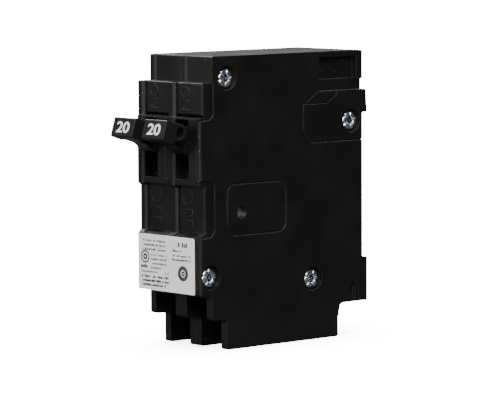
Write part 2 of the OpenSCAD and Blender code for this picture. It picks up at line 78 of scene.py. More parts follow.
class Pole(Enum):
    """The two poles, each with the place of its left side across the case."""

    LEFT = ("left", -12.7 * MM)
    RIGHT = ("right", 0.05 * MM)

    @property
    def prefix(self) -> str:
        """The start of this pole's node and body names."""
        return self.value[0]

    @property
    def x(self) -> float:
        """The place of the pole's left side."""
        return self.value[1]


@dataclass(frozen=True)
class CaseFrame:
    """Turns places in the case's own frame into the row frame.

    The case's own frame starts a pole's X at its left side and has Y = 0 on the rear face, and
    its lengths are in millimetres. The rear feet stand foot_out behind that face, and a pole is
    pole_w wide.
    """

    foot_out: float = 1.8
    pole_w: float = 12.65

    @property
    def rear(self) -> float:
        """Y of the rear face in the row frame."""
        return CAD_BOX[1][1] - self.foot_out * MM

    def place(self, pole: Pole, x: float, y: float, z: float) -> np.ndarray:
        """One point in the row frame.

        Args:
            pole: the pole that x is measured in.
            x, y, z: place in the case's own frame, in millimetres.
        Returns:
            The point as an array of 3.
        """
        return np.array([pole.x + x * MM, self.rear + y * MM, z * MM])


CASE = CaseFrame()


# ---- Surfaces worked out with numpy ---------------------------------------------------------


@dataclass
class Surface:
    """A closed surface as arrays: points, and faces given as lists of equal-sided polygons."""

    points: np.ndarray
    faces: list[np.ndarray]

    def turned_outwards(self) -> "Surface":
        """The same surface with its faces reversed if they enclose a negative volume.

        The volume is a sixth of the sum of a . (b x c) over the triangles of a fan in each face.
        """
        volume = 0.0
        for group in self.faces:
            first = self.points[group[:, 0]]
            for k in range(1, group.shape[1] - 1):
                b, c = self.points[group[:, k]], self.points[group[:, k + 1]]
                volume += float(np.einsum("ij,ij->i", first, np.cross(b, c)).sum())
        if volume < 0:
            self.faces = [group[:, ::-1] for group in self.faces]
        return self

    def moved(self, matrix: np.ndarray) -> "Surface":
        """The same surface with its points carried by a 4 x 4 matrix."""
        points = self.points @ matrix[:3, :3].T + matrix[:3, 3]
        return Surface(points, self.faces)


def joined(parts: list[Surface]) -> Surface:
    """Several surfaces as one, each keeping its own points."""
    starts = np.cumsum([0] + [len(p.points) for p in parts[:-1]])
    faces = [group + start for p, start in zip(parts, starts) for group in p.faces]
    return Surface(np.vstack([p.points for p in parts]), faces)


def band(rows: int, columns: int) -> np.ndarray:
    """Four-sided faces between neighbouring rows of points, closed round each row.

    Point (i, j) of the grid has the number i * columns + j. A face joins (i, j), (i, j + 1),
    (i + 1, j + 1) and (i + 1, j), and j + 1 starts again at 0 after the last column.
    """
    i, j = np.meshgrid(np.arange(rows - 1), np.arange(columns), indexing="ij")
    k = (j + 1) % columns
    corners = [i * columns + j, i * columns + k, (i + 1) * columns + k, (i + 1) * columns + j]
    return np.stack(corners, axis=-1).reshape(-1, 4)


def with_poles(rings: np.ndarray, start: np.ndarray, end: np.ndarray) -> Surface:
    """Closes a stack of rings with one point at each end.

    Args:
        rings: points as an array of rings x around x 3.
        start, end: the points that close the first and the last ring.
    Returns:
        The closed surface.
    """
    rows, columns, _ = rings.shape
    points = np.vstack([rings.reshape(-1, 3), start, end])
    j = np.arange(columns)
    k = (j + 1) % columns
    last = (rows - 1) * columns
    cap_a = np.stack([k, j, np.full(columns, rows * columns)], axis=1)
    cap_b = np.stack([last + j, last + k, np.full(columns, rows * columns + 1)], axis=1)
    return Surface(points, [band(rows, columns), cap_a, cap_b]).turned_outwards()


def squared_frames(path: np.ndarray) -> tuple[np.ndarray, np.ndarray]:
    """Two directions square to a path at each of its points, carried along it without twist.

    The direction of the path at a point is the line between its neighbours. The first side
    direction is the last one less its part along the path, brought back to length 1, and the
    second is the cross product of the two.
    """
    along = np.gradient(path, axis=0)
    along /= np.linalg.norm(along, axis=1, keepdims=True)
    side = np.zeros_like(path)
    current = np.array([1.0, 0.0, 0.0]) if abs(along[0][0]) < 0.9 else np.array([0.0, 0.0, 1.0])
    for i, direction in enumerate(along):
        current = current - direction * (current @ direction)
        current /= np.linalg.norm(current)
        side[i] = current
    return side, np.cross(along, side)


def swept(path: np.ndarray, radius: float, sides: int) -> Surface:
    """A round bar carried along a path.

    A point at angle a on a ring is path + radius * (cos a * side + sin a * up).

    Args:
        path: points of the middle line, as an array of n x 3.
        radius: radius of the bar.
        sides: number of points round a ring.
    Returns:
        The closed surface.
    """
    side, up = squared_frames(path)
    a = np.linspace(0, 2 * math.pi, sides, endpoint=False)
    ring = np.cos(a)[None, :, None] * side[:, None] + np.sin(a)[None, :, None] * up[:, None]
    return with_poles(path[:, None] + radius * ring, path[0], path[-1])


def turned(radii: np.ndarray, heights: np.ndarray, sides: int) -> Surface:
    """A turned form about Z: the point at angle a has x = r cos a, y = r sin a and z = h.

    Args:
        radii, heights: the profile, as lists of n values or as arrays of n x sides.
        sides: number of points round a ring.
    Returns:
        The closed surface.
    """
    a = np.linspace(0, 2 * math.pi, sides, endpoint=False)
    r = np.broadcast_to(radii if radii.ndim == 2 else radii[:, None], (len(radii), sides))
    h = np.broadcast_to(heights if heights.ndim == 2 else heights[:, None], (len(radii), sides))
    rings = np.stack([r * np.cos(a), r * np.sin(a), h], axis=-1)
    return with_poles(rings, np.array([0, 0, h[0].mean()]), np.array([0, 0, h[-1].mean()]))


def pillows(centres: np.ndarray, sizes: np.ndarray, thick: float) -> Surface:
    """Many thin flat blocks that face -Y, one for each stroke of print.

    Corner k of block i is centre + half size times (+-1, 0, +-1), with the front face thick
    ahead of the back one.

    Args:
        centres: middles of the back faces, n x 3.
        sizes: widths along X and heights along Z, n x 2.
        thick: how far the print stands off the paper.
    Returns:
        All blocks as one surface.
    """
    corner = np.array([[-1, -1], [1, -1], [1, 1], [-1, 1]]) / 2
    flat = corner[None] * sizes[:, None]
    back = centres[:, None] + np.stack([flat[..., 0], np.zeros(flat.shape[:2]), flat[..., 1]], -1)
    front = back + np.array([0, -thick, 0])
    points = np.concatenate([back, front], axis=1).reshape(-1, 3)
    block = np.array([[3, 2, 1, 0], [4, 5, 6, 7], [0, 1, 5, 4],
                      [1, 2, 6, 5], [2, 3, 7, 6], [3, 0, 4, 7]])
    faces = (block[None] + 8 * np.arange(len(centres))[:, None, None]).reshape(-1, 4)
    return Surface(points, [faces]).turned_outwards()


def matrix_from_axes(x: np.ndarray, y: np.ndarray, z: np.ndarray, at: np.ndarray) -> np.ndarray:
    """The 4 x 4 matrix that carries the three axes to x, y and z and the origin to a point."""
    matrix = np.eye(4)
    matrix[:3, 0], matrix[:3, 1], matrix[:3, 2], matrix[:3, 3] = x, y, z, at
    return matrix


AXIS_X, AXIS_Y, AXIS_Z = np.eye(3)


# ---- Node trees and shared effects ----------------------------------------------------------


class Tree:
    """A node tree under construction, with short ways to add, set and join nodes."""

    def __init__(self, tree: bpy.types.NodeTree) -> None:
        """Starts on an empty tree."""
        self.tree = tree
        tree.nodes.clear()

    def add(self, kind: str, **values: object) -> bpy.types.Node:
        """Adds a node and sets its properties.

        Args:
            kind: name of the node type, without ShaderNode.
            values: properties of the node, by name.
        Returns:
            The new node.
        """
        node = self.tree.nodes.new(kind if kind.startswith("Node") else f"ShaderNode{kind}")
        for name, value in values.items():
            setattr(node, name, value)
        return node

    def join(self, source: bpy.types.NodeSocket, target: bpy.types.NodeSocket) -> None:
        """Joins an output to an input."""
        self.tree.links.new(source, target)

    def feed(self, socket: bpy.types.NodeSocket, value: object) -> None:
        """Sets an input to a value, or joins it if the value is another node's output."""
        if isinstance(value, bpy.types.NodeSocket):
            self.join(value, socket)
        else:
            socket.default_value = value

    def math(self, operation: str, *values: object, clamp: bool = False) -> bpy.types.NodeSocket:
        """The result of a Math node."""
        node = self.add("Math", operation=operation, use_clamp=clamp)
        for i, value in enumerate(values):
            self.feed(node.inputs[i], value)
        return node.outputs[0]

    def blend(self, factor: object, a: object, b: object) -> bpy.types.NodeSocket:
        """The colour between a and b, by a factor from 0 to 1."""
        node = self.add("Mix", data_type="RGBA")
        for name, value in (("Factor", factor), ("A", a), ("B", b)):
            socket = next(s for s in node.inputs if s.name == name and s.enabled)
            self.feed(socket, value)
        return next(s for s in node.outputs if s.enabled)

    def between(self, value: object, low: float, high: float,
                a: object = 0.0, b: object = 1.0) -> bpy.types.NodeSocket:
        """A value carried smoothly from the range low to high into the range a to b."""
        node = self.add("MapRange", interpolation_type="SMOOTHSTEP")
        for socket, item in zip(node.inputs[:5], (value, low, high, a, b)):
            self.feed(socket, item)
        return node.outputs[0]

    def noise(self, vector: object, scale: object,
              detail: float = 2.0, rough: float = 0.5) -> bpy.types.NodeSocket:
        """The value of a noise pattern, from about 0 to 1 round 0.5."""
        node = self.add("TexNoise")
        self.feed(node.inputs["Vector"], vector)
        self.feed(node.inputs["Scale"], scale)
        node.inputs["Detail"].default_value = detail
        node.inputs["Roughness"].default_value = rough
        return node.outputs["Fac"]

    def object_place(self) -> bpy.types.NodeSocket:
        """Object coordinates."""
        return self.add("TexCoord").outputs["Object"]

    def bump(self, height: object, strength: float, distance: float) -> bpy.types.Node:
        """A Bump node on a height, with its Normal input left free."""
        node = self.add("Bump")
        node.inputs["Strength"].default_value = strength
        node.inputs["Distance"].default_value = distance
        self.feed(node.inputs["Height"], height)
        return node


class Group:
    """A shader node group with named sockets, built once and placed in many materials."""

    def __init__(self, name: str, inputs: dict[str, float], outputs: dict[str, str]) -> None:
        """Makes the group's sockets.

        Args:
            name: name of the group.
            inputs: number inputs with their usual values.
            outputs: outputs with their socket types.
        """
        self.group = bpy.data.node_groups.new(name, "ShaderNodeTree")
        face = self.group.interface
        for label, value in inputs.items():
            face.new_socket(label, in_out="INPUT", socket_type="NodeSocketFloat").default_value = value
        for label, kind in outputs.items():
            face.new_socket(label, in_out="OUTPUT", socket_type=kind)
        self.tree = Tree(self.group)
        self.given = self.tree.add("NodeGroupInput").outputs
        self.wanted = self.tree.add("NodeGroupOutput").inputs

    def placed(self, tree: Tree, **values: object) -> bpy.types.NodeSocket:
        """Places the group in a tree and returns its outputs.

        Args:
            tree: the tree to place it in.
            values: input values, with _ for a space in a socket's name.
        Returns:
            The node's outputs.
        """
        node = tree.add("Group")
        node.node_tree = self.group
        for label, value in values.items():
            tree.feed(node.inputs[label.replace("_", " ")], value)
        return node.outputs


class Effects:
    """The shared effects: moulded grain, softened edges and a mask for lighter edges (worn, and on the
    thermoset also a painted highlight), dust, and drawn metal.
    """

    def __init__(self) -> None:
        """Builds every group once."""
        self.grain = self._grain()
        self.edges = self._edges()
        self.dust = self._dust()
        self.drawn = self._drawn()

    def _grain(self) -> Group:
        """Fine pits and slow unevenness of a moulded face: two noises of different size added."""
        g = Group("moulded_grain", {"Fine Scale": 2600.0, "Broad Scale": 90.0, "Broad Share": 0.5},
                  {"Height": "NodeSocketFloat", "Shade": "NodeSocketFloat"})
        t = g.tree
        place = t.object_place()
        fine = t.noise(place, g.given["Fine Scale"], 3.0, 0.6)
        broad = t.noise(place, g.given["Broad Scale"], 2.0)
        height = t.math("ADD", fine, t.math("MULTIPLY", broad, g.given["Broad Share"]))
        shade = t.math("ADD", t.math("MULTIPLY", broad, 0.7), t.math("MULTIPLY", fine, 0.3))
        t.join(height, g.wanted["Height"])
        t.join(shade, g.wanted["Shade"])
        return g

    def _edges(self) -> Group:
        """Soft edges: the angle between the true and the rounded normal, broken up by noise."""
        g = Group("soft_edges", {"WearAndHighlight": 0.6, "Scale": 700.0},
                  {"Mask": "NodeSocketFloat", "Normal": "NodeSocketVector"})
        t = g.tree
        rounded = t.add("Bevel", samples=6)
        rounded.inputs["Radius"].default_value = 0.22 * MM
        true = t.add("NewGeometry").outputs["Normal"]
        dot = t.add("VectorMath", operation="DOT_PRODUCT")
        t.join(rounded.outputs["Normal"], dot.inputs[0])
        t.join(true, dot.inputs[1])
        turn = t.between(t.math("SUBTRACT", 1.0, dot.outputs["Value"]), 0.01, 0.2)
        cloud = t.noise(t.object_place(), g.given["Scale"], 3.0)
        patches = t.between(cloud, 0.35, 0.65, 0.35, 1.0)
        t.join(t.math("MULTIPLY", t.math("MULTIPLY", turn, patches), g.given["WearAndHighlight"]), g.wanted["Mask"])
        t.join(rounded.outputs["Normal"], g.wanted["Normal"])
        return g

    def _dust(self) -> Group:
        """Dust: sparse specks everywhere, and a thin patchy film on faces that look up."""
        g = Group("dust", {"Amount": 0.5, "Scale": 900.0}, {"Mask": "NodeSocketFloat"})
        t = g.tree
        place = t.object_place()
        cells = t.add("TexVoronoi", feature="F1")
        t.join(place, cells.inputs["Vector"])
        t.join(g.given["Scale"], cells.inputs["Scale"])
        speck = t.between(cells.outputs["Distance"], 0.06, 0.14, 1.0, 0.0)
        pick = t.add("SeparateColor")
        t.join(cells.outputs["Color"], pick.inputs[0])
        sparse = t.between(pick.outputs[0], 0.9, 0.97)
        up = t.add("SeparateXYZ")
        t.join(t.add("NewGeometry").outputs["Normal"], up.inputs[0])
        upward = t.between(up.outputs["Z"], 0.3, 0.9)
        film = t.math("MULTIPLY", upward, t.between(t.noise(place, 220.0, 3.0), 0.4, 0.8))
        both = t.math("ADD", t.math("MULTIPLY", speck, sparse), t.math("MULTIPLY", film, 0.12))
        t.join(t.math("MULTIPLY", both, g.given["Amount"], clamp=True), g.wanted["Mask"])
        return g

    def _drawn(self) -> Group:
        """Drawn metal: noise stretched to fine lines along one axis, and broad patches for stains, which on
        the rivets also place painted shade.
        """
        g = Group("drawn_metal", {"Along X": 60.0, "Along Y": 60.0, "Along Z": 2400.0},
                  {"Height": "NodeSocketFloat", "StainAndShade": "NodeSocketFloat"})
        t = g.tree
        place = t.object_place()
        scale = t.add("CombineXYZ")
        for axis in "XYZ":
            t.join(g.given[f"Along {axis}"], scale.inputs[axis])
        lines = t.add("VectorMath", operation="MULTIPLY")
        t.join(place, lines.inputs[0])
        t.join(scale.outputs[0], lines.inputs[1])
        t.join(t.noise(lines.outputs[0], 1.0, 3.0), g.wanted["Height"])
        t.join(t.noise(place, 420.0, 3.0, 0.6), g.wanted["StainAndShade"])
        return g


# ---- Finishes -------------------------------------------------------------------------------

Colour = tuple[float, float, float, float]


def grey(value: float, warm: float = 0.0) -> Colour:
    """A grey, warmer where warm is above 0 and cooler below."""
    return (value * (1 + warm), value, value * (1 - warm), 1.0)


def brighter(colour: Colour, times: float) -> Colour:
    """A colour that many times as bright, with no channel over 1."""
    return tuple(min(1.0, times * c) for c in colour[:3]) + (1.0,)


@dataclass(frozen=True)
class Finish:
    """What every finish has: a name and a Principled shader on a fresh node tree."""

    name: str

    def started(self) -> tuple[bpy.types.Material, Tree, bpy.types.Node]:
        """A new material with its tree and its Principled shader."""
        material = bpy.data.materials.new(self.name)
        material.use_nodes = True
        tree = Tree(material.node_tree)
        shader = tree.add("BsdfPrincipled")
        tree.join(shader.outputs[0], tree.add("OutputMaterial").inputs["Surface"])
        return material, tree, shader


@dataclass(frozen=True)
class Thermoset(Finish):
    """Near-black moulded thermoset with fine grain, softened edges, lighter edges that are partly worn and
    partly a painted edge highlight, and a little dust.
    """

    colour: Colour = grey(0.0047, 0.08)
    worn_and_highlight_edge_colour: Colour = grey(0.050, 0.07)
    roughness: float = 0.40
    grain: float = 0.12
    edge_wear_and_highlight: float = 0.85
    dust: float = 0.7
    gloss: float = 0.3

    def build(self, effects: Effects) -> bpy.types.Material:
        """Builds the material.

        Args:
            effects: the shared node groups.
        Returns:
            The material.
        """
        material, t, shader = self.started()
        grain = effects.grain.placed(t, Fine_Scale=2600.0)
        edges = effects.edges.placed(t, WearAndHighlight=self.edge_wear_and_highlight)
        dust = effects.dust.placed(t, Amount=self.dust)
        deep = t.blend(t.between(grain["Shade"], 0.3, 0.7), self.colour, brighter(self.colour, 1.5))
        # Lighter edges: partly worn, partly a painted highlight standing in for the light the edges catch.
        worn_and_highlit_edges = t.blend(edges["Mask"], deep, self.worn_and_highlight_edge_colour)
        t.join(t.blend(dust["Mask"], worn_and_highlit_edges, grey(0.30, 0.02)), shader.inputs["Base Color"])
        rough = t.between(grain["Shade"], 0.3, 0.7, self.roughness - 0.05, self.roughness + 0.06)
        t.join(t.math("ADD", rough, t.math("MULTIPLY", dust["Mask"], 0.4)), shader.inputs["Roughness"])
        bump = t.bump(grain["Height"], self.grain, 0.06 * MM)
        t.join(edges["Normal"], bump.inputs["Normal"])
        t.join(bump.outputs[0], shader.inputs["Normal"])
        shader.inputs["Specular IOR Level"].default_value = self.gloss
        return material


@dataclass(frozen=True)
class Metal(Finish):
    """Rolled, drawn or plated metal with fine lines, stains and softened edges; on the rivets the dark
    patches are partly stains and partly painted shade.
    """

    colour: Colour = grey(0.6, -0.02)
    stain_and_shade: Colour = grey(0.35, 0.02)
    roughness: float = 0.3
    lines: tuple[float, float, float] = (60.0, 60.0, 2400.0)
    line_depth: float = 0.15

    def build(self, effects: Effects) -> bpy.types.Material:
        """Builds the material.

        Args:
            effects: the shared node groups.
        Returns:
            The material.
        """
        material, t, shader = self.started()
        x, y, z = self.lines
        drawn = effects.drawn.placed(t, Along_X=x, Along_Y=y, Along_Z=z)
        edges = effects.edges.placed(t, WearAndHighlight=0.5, Scale=900.0)
        # Darker patches: stains, and on the rivets also painted shade.
        aged_and_shaded = t.blend(t.between(drawn["StainAndShade"], 0.42, 0.72, 0.0, 0.6), self.colour, self.stain_and_shade)
        t.join(t.blend(edges["Mask"], aged_and_shaded, brighter(self.colour, 1.25)), shader.inputs["Base Color"])
        rough = t.between(drawn["StainAndShade"], 0.3, 0.75, self.roughness - 0.06, self.roughness + 0.16)
        t.join(rough, shader.inputs["Roughness"])
        shader.inputs["Metallic"].default_value = 1.0
        bump = t.bump(drawn["Height"], self.line_depth, 0.03 * MM)
        t.join(edges["Normal"], bump.inputs["Normal"])
        t.join(bump.outputs[0], shader.inputs["Normal"])
        return material


@dataclass(frozen=True)
class Paper(Finish):
    """Matt coated label paper, warm off-white, faintly mottled and soiled."""

    colour: Colour = (0.97, 0.945, 0.91, 1.0)
    soiled: Colour = (0.88, 0.855, 0.815, 1.0)

    def build(self, effects: Effects) -> bpy.types.Material:
        """Builds the material.

        Args:
            effects: the shared node groups.
        Returns:
            The material.
        """
        material, t, shader = self.started()
        grain = effects.grain.placed(t, Fine_Scale=1500.0, Broad_Scale=140.0)
        dust = effects.dust.placed(t, Amount=0.5, Scale=500.0)
        toned = t.blend(t.between(grain["Shade"], 0.35, 0.75, 0.0, 0.45), self.colour, self.soiled)
        t.join(t.blend(dust["Mask"], toned, grey(0.35, 0.05)), shader.inputs["Base Color"])
        t.join(t.between(grain["Shade"], 0.3, 0.7, 0.52, 0.66), shader.inputs["Roughness"])
        t.join(t.bump(grain["Height"], 0.1, 0.03 * MM).outputs[0], shader.inputs["Normal"])
        return material


@dataclass(frozen=True)
class Ink(Finish):
    """Printed or stamped ink with slightly uneven cover."""

    colour: Colour = grey(0.05)
    thin: Colour = grey(0.16)
    roughness: float = 0.5

    def build(self, effects: Effects) -> bpy.types.Material:
        """Builds the material.

        Args:
            effects: the shared node groups.
        Returns:
            The material.
        """
        material, t, shader = self.started()
        grain = effects.grain.placed(t, Fine_Scale=1800.0, Broad_Scale=500.0)
        cover = t.blend(t.between(grain["Shade"], 0.4, 0.7), self.colour, self.thin)
        rough = t.between(grain["Shade"], 0.3, 0.7, self.roughness - 0.06, self.roughness + 0.1)
        t.join(cover, shader.inputs["Base Color"])
        t.join(rough, shader.inputs["Roughness"])
        return material


@dataclass(frozen=True)
class FibreBoard(Finish):
    """Vulcanised fibre, reddish brown, with slow mottling."""

    colour: Colour = (0.20, 0.045, 0.02, 1.0)
    pale: Colour = (0.30, 0.09, 0.045, 1.0)

    def build(self, effects: Effects) -> bpy.types.Material:
        """Builds the material.

        Args:
            effects: the shared node groups.
        Returns:
            The material.
        """
        material, t, shader = self.started()
        grain = effects.grain.placed(t, Fine_Scale=1200.0, Broad_Scale=260.0)
        mottled = t.blend(t.between(grain["Shade"], 0.35, 0.65), self.colour, self.pale)
        t.join(mottled, shader.inputs["Base Color"])
        t.join(t.between(grain["Shade"], 0.3, 0.7, 0.5, 0.68), shader.inputs["Roughness"])
        return material


class Finishes:
    """Every material of the breaker, by the name of the part it dresses."""

    def __init__(self) -> None:
        """Builds all materials once."""
        effects = Effects()
        kinds = {
            "case": Thermoset("case_thermoset"),
            "handle": Thermoset("handle_thermoset", colour=grey(0.0065, 0.12),
                                roughness=0.38, grain=0.07, dust=0.3),
            "lettering": Thermoset("raised_lettering", colour=grey(0.009, 0.04), edge_wear_and_highlight=0.9, dust=0.3),
            "plated": Metal("zinc_plated_steel", colour=grey(0.60, -0.03), stain_and_shade=grey(0.30, 0.03)),
            "iron": Metal("plated_iron", colour=grey(0.42, -0.02), stain_and_shade=grey(0.2, 0.04), roughness=0.42),
            "spring": Metal("spring_wire", colour=grey(0.50, -0.01),
                            roughness=0.26, lines=(2000.0, 60.0, 60.0)),
            # The rivets' very dark patches are partly staining and partly painted shade for the dim parts
            # of the rolled ends.
            "rivet": Metal("bright_rivet", colour=(0.66, 0.71, 0.78, 1.0), stain_and_shade=grey(0.08, -0.05),
                           roughness=0.24, lines=(300.0, 700.0, 700.0), line_depth=0.35),
            "copper": Metal("copper_strip", colour=(0.78, 0.36, 0.20, 1.0), stain_and_shade=(0.36, 0.14, 0.08, 1.0)),
            "tinned": Metal("tinned_copper", colour=(0.62, 0.60, 0.56, 1.0),
                            stain_and_shade=(0.42, 0.34, 0.28, 1.0), roughness=0.44),
            "silver": Metal("silver_contact", colour=(0.83, 0.82, 0.79, 1.0),
                            stain_and_shade=grey(0.4, 0.03), roughness=0.32),
            "brass": Metal("brass_strap", colour=(0.76, 0.55, 0.24, 1.0),
                           stain_and_shade=(0.38, 0.25, 0.10, 1.0), roughness=0.34),
            "bimetal": Metal("bimetal_strip", colour=(0.55, 0.50, 0.42, 1.0),
                             stain_and_shade=(0.34, 0.28, 0.22, 1.0), roughness=0.38),
            "fibre": FibreBoard("vulcanised_fibre"),
            "paper": Paper("label_paper"),
            "print": Ink("label_print", colour=grey(0.02), thin=grey(0.07)),
            "white": Ink("white_number", colour=grey(0.92), thin=grey(0.80)),
        }
        self.made = {label: finish.build(effects) for label, finish in kinds.items()}

    def __getitem__(self, label: str) -> bpy.types.Material:
        """The material with that label."""
        return self.made[label]


# ---- Placing pieces -------------------------------------------------------------------------


def piece(name: str, surface: Surface, material: bpy.types.Material,
          body: str, smooth: float = 40.0) -> bpy.types.Object:
    """Makes a mesh object from a surface and lets it ride on a body.

    Args:
        name: name of the piece.
        surface: its points and faces, in the row frame.
        material: its finish.
        body: the CAD body it moves with.
        smooth: faces that meet at less than this many degrees are shaded as one.
    Returns:
        The new object.
    """
    mesh = bpy.data.meshes.new(name)
    faces = [face for group in surface.faces for face in group.tolist()]
    mesh.from_pydata(surface.points.tolist(), [], faces)
    mesh.materials.append(material)
    mesh.shade_smooth()
    mesh.set_sharp_from_angle(angle=math.radians(smooth))
    thing = bpy.data.objects.new(name, mesh)
    bpy.context.scene.collection.objects.link(thing)
    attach(thing, body)
    log.info("%s rides on %s, %d faces", name, body, len(mesh.polygons))
    return thing


def dress(node: str, material: bpy.types.Material) -> None:
    """Gives a CAD node its finish.

    Args:
        node: name of the node.
        material: the finish for all its faces.
    """
    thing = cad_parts[node]
    if not thing.material_slots:
        thing.data.materials.append(material)
    for holder in thing.material_slots:
        holder.material = material
    log.info("%s dressed in %s", node, material.name)


@dataclass(frozen=True)
class Lettering:
    """A word or number cut as a solid: its text, length, height of capitals, depth and boldness.

    Length, height and depth are in metres.
    """

    text: str
    length: float
    height: float
    depth: float
    bold: float = 0.0

    def mesh(self) -> bpy.types.Mesh:
        """The solid word as a mesh centred on the origin, facing +Z, with its back at Z = 0."""
        curve = bpy.data.curves.new(self.text, "FONT")
        curve.body = self.text
        curve.align_x = "CENTER"
        curve.align_y = "CENTER"
        curve.resolution_u = 6
        curve.offset = self.bold
        curve.extrude = 0.5
        word = bpy.data.objects.new(self.text, curve)
        bpy.context.scene.collection.objects.link(word)
        bpy.context.view_layer.update()
        seen = word.evaluated_get(bpy.context.evaluated_depsgraph_get())
        mesh = bpy.data.meshes.new_from_object(seen)
        bpy.data.objects.remove(word)
        points = np.empty(len(mesh.vertices) * 3)
        mesh.vertices.foreach_get("co", points)
        points = points.reshape(-1, 3)
        low, high = points.min(axis=0), points.max(axis=0)
        middle = np.array([(low[0] + high[0]) / 2, (low[1] + high[1]) / 2, low[2]])
        points = (points - middle) / (high - low) * np.array([self.length, self.height, self.depth])
        mesh.vertices.foreach_set("co", points.ravel())
        mesh.update()
        return mesh

    def placed(self, name: str, matrix: np.ndarray,
               material: bpy.types.Material, body: str) -> bpy.types.Object:
        """Places the word as a piece.

        Args:
            name: name of the piece.
            matrix: carries the word's own axes into the row frame.
            material: its finish.
            body: the CAD body it moves with.
        Returns:
            The new object.
        """
        mesh = self.mesh()
        mesh.transform(Matrix(matrix.tolist()))
        mesh.name = name
        mesh.materials.clear()
        mesh.materials.append(material)
        thing = bpy.data.objects.new(name, mesh)
        bpy.context.scene.collection.objects.link(thing)
        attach(thing, body)
        log.info("%s rides on %s", name, body)
        return thing


# ---- The case -------------------------------------------------------------------------------


@dataclass
class CaseMoulding:
    """Covers and bases of both poles, with the raised words on their two front blocks.

    word_x, on_at and off_at are the words' middles in the case's own frame, and seat is how far a
    word's back lies inside its block.
    """

    finishes: Finishes
    word_x: float = 5.5
    seat: float = 0.03
    on_at: tuple[float, float] = (-58.0, 67.4)
    off_at: tuple[float, float] = (-57.4, 38.0)
    on: Lettering = Lettering("ON", 6.4 * MM, 3.6 * MM, 0.14 * MM, bold=-0.01)
    off: Lettering = Lettering("OFF", 10.4 * MM, 4.6 * MM, 0.16 * MM, bold=-0.01)

    def build(self) -> None:
        """Dresses the mouldings and adds the raised words, which read from the top down."""
        for pole in Pole:
            dress(f"{pole.prefix}_cover", self.finishes["case"])
            dress(f"{pole.prefix}_base", self.finishes["case"])
            for label, word, (y, z) in (("on", self.on, self.on_at), ("off", self.off, self.off_at)):
                at = CASE.place(pole, self.word_x, y + self.seat, z)
                matrix = matrix_from_axes(-AXIS_Z, AXIS_X, -AXIS_Y, at)
                word.placed(f"{pole.prefix}_word_{label}", matrix, self.finishes["lettering"], "case")


# ---- Rivets ---------------------------------------------------------------------------------


@dataclass
class ClinchedRivets:
    """The four tubular rivets: a low domed head on the left, a split and rolled end on the right.

    lip lists the rolled end's profile, from the bottom of the tube: radius, height over the seat,
    share of the split and share of the tipping. head lists the factory head's: radius and height.
    """

    finishes: Finishes
    places: tuple[tuple[float, float], ...] = ((-49.5, 72.7), (-55.6, 19.8), (-18.7, 16.7), (-4.2, 59.3))
    sink: float = 0.9
    sides: int = 96
    petals: int = 6
    split_width: float = 0.11
    split_in: float = 0.45
    split_down: float = 0.42
    split_from_r: float = 1.9
    split_over_r: float = 0.7
    shank_r: float = 1.5
    seat: float = 0.02
    lip: tuple[tuple[float, float, float, float], ...] = (
        (0.40, -2.5, 0, 0), (0.95, -2.45, 0, 0), (0.95, -0.4, 0, 0), (0.98, 0.1, 0, 0),
        (1.12, 0.42, 0.15, 0.2), (1.35, 0.58, 0.45, 0.5), (1.62, 0.66, 0.8, 0.8),
        (1.92, 0.63, 1, 1), (2.22, 0.5, 1, 1.1), (2.48, 0.3, 1, 1), (2.6, 0.12, 0.8, 0.5),
        (2.56, 0.02, 0.3, 0), (1.62, 0.02, 0, 0),
    )
    head: tuple[tuple[float, float], ...] = (
        (1.6, 0.02), (2.5, 0.02), (2.64, -0.1), (2.64, -0.3), (2.45, -0.48), (1.6, -0.57), (0.5, -0.6),
    )

    def one(self, place: tuple[float, float], seed: int) -> Surface:
        """One rivet along X.

        The profile starts in the bottom of the tube, climbs to the rolled lip, goes round it,
        down the shank and round the factory head. The rolled end is split: at some uneven angles
        the lip is lowered and drawn in by a narrow bell curve, and each petal between two splits
        is tipped by its own amount.

        Args:
            place: Y and Z in the case's own frame, in millimetres.
            seed: picks the angles and the tipping of the petals.
        Returns:
            The closed surface in the row frame.
        """
        chance = np.random.default_rng(seed)
        low = Pole.LEFT.x + self.sink * MM
        high = Pole.RIGHT.x + CASE.pole_w * MM - self.sink * MM
        a = np.linspace(0, 2 * math.pi, self.sides, endpoint=False)
        count = self.petals
        splits = (np.arange(count) + chance.uniform(-0.22, 0.22, count)) * 2 * math.pi / count
        splits = splits + chance.uniform(0, 6)
        away = np.abs((a[:, None] - splits[None] + math.pi) % (2 * math.pi) - math.pi)
        strength = chance.uniform(0.7, 1.0, count)[away.argmin(axis=1)]
        split = np.exp(-((away.min(axis=1) / self.split_width) ** 2)) * strength
        petal = np.searchsorted(np.sort(splits % (2 * math.pi)), a) % count
        tip = chance.uniform(-0.10, 0.08, count)[petal]
        lip, head = np.array(self.lip), np.array(self.head)
        r, h, split_share, tip_share = (lip[:, k:k + 1] for k in range(4))
        outer = np.clip((r - self.split_from_r) / self.split_over_r, 0, 1)
        radius = r - self.split_in * split_share * split * outer
        height = h - self.split_down * split_share * split + tip_share * tip
        height = np.maximum(height, np.where(r > self.shank_r, self.seat, -np.inf))
        far = (low - high) / MM
        rows_r = np.vstack([radius, np.repeat(head[:, :1], self.sides, axis=1)]) * MM
        rows_h = np.vstack([height, np.repeat(head[:, 1:] + far, self.sides, axis=1)]) * MM
        form = turned(rows_r, rows_h, self.sides)
        y, z = CASE.rear + place[0] * MM, place[1] * MM
        return form.moved(matrix_from_axes(AXIS_Y, AXIS_Z, AXIS_X, np.array([high, y, z])))

    def build(self) -> None:
        """Replaces the CAD rivets with the finer ones."""
        rivets = joined([self.one(place, 11 + i) for i, place in enumerate(self.places)])
        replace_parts(piece("clinched_rivets", rivets, self.finishes["rivet"], "case", 55.0), "case_rivets")


# ---- Label ----------------------------------------------------------------------------------


@dataclass(frozen=True)
class PrintBlock:
    """Lines of generic print: place of the first line, extent, count and pitch, in millimetres."""

    x: float
    down: float
    width: float
    lines: int
    pitch: float = 0.66
    height: float = 0.34
    weight: float = 1.0
    ragged: float = 0.2


